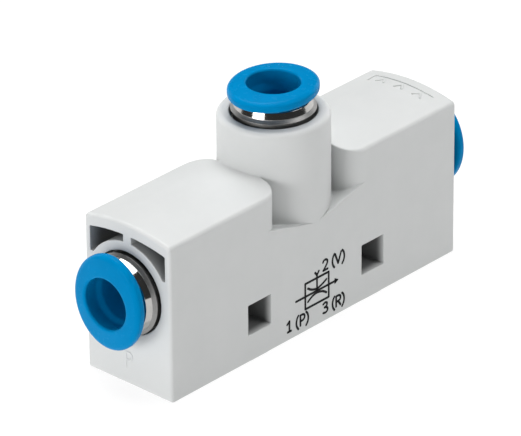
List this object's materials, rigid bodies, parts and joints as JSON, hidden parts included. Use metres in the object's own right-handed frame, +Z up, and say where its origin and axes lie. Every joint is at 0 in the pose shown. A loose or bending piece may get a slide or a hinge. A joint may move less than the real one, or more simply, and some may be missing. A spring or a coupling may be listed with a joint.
{
  "type": "vacuum ejector",
  "caption": "Inline vacuum ejector: T-shaped moulded housing, jet and receiver nozzles, push-in tube ports with sliding release rings.",
  "frame": {"origin": "centre of the housing's underside", "axes": "+X from the pressure port to the exhaust port, +Y across the housing, +Z up the tower"},
  "size_m": [0.06, 0.014, 0.0312],
  "materials": {
    "housing_plastic": "light grey moulded plastic, satin",
    "nozzle_aluminium": "turned",
    "nozzle_plastic": "natural moulded plastic",
    "seal_rubber": "black rubber",
    "release_ring_plastic": "blue moulded plastic, slight sheen",
    "collar_plated": "bright nickel plating",
    "grip_ring_steel": "stamped stainless steel",
    "support_ring_plastic": "dark moulded plastic"
  },
  "bodies": {
    "body": {"housing": "housing_plastic", "jet_nozzle": "nozzle_aluminium", "jet_nozzle_seal": "seal_rubber", "receiver_nozzle": "nozzle_plastic", "receiver_nozzle_seal": "seal_rubber", "pressure_collar": "collar_plated", "pressure_grip_ring": "grip_ring_steel", "pressure_support_ring": "support_ring_plastic", "pressure_tube_seal": "seal_rubber", "vacuum_collar": "collar_plated", "vacuum_grip_ring": "grip_ring_steel", "vacuum_support_ring": "support_ring_plastic", "vacuum_tube_seal": "seal_rubber", "exhaust_collar": "collar_plated", "exhaust_grip_ring": "grip_ring_steel", "exhaust_support_ring": "support_ring_plastic", "exhaust_tube_seal": "seal_rubber"},
    "pressure_release": {"pressure_release_ring": "release_ring_plastic"},
    "vacuum_release": {"vacuum_release_ring": "release_ring_plastic"},
    "exhaust_release": {"exhaust_release_ring": "release_ring_plastic"}
  },
  "joints": [
    {"name": "pressure_release_press", "type": "slide", "parent": "body", "child": "pressure_release", "axis": [1, 0, 0], "range_m": [0, 0.00065], "stiffness_N_per_m": 400},
    {"name": "vacuum_release_press", "type": "slide", "parent": "body", "child": "vacuum_release", "axis": [0, 0, -1], "range_m": [0, 0.00045], "stiffness_N_per_m": 400},
    {"name": "exhaust_release_press", "type": "slide", "parent": "body", "child": "exhaust_release", "axis": [-1, 0, 0], "range_m": [0, 0.00065], "stiffness_N_per_m": 400}
  ]
}
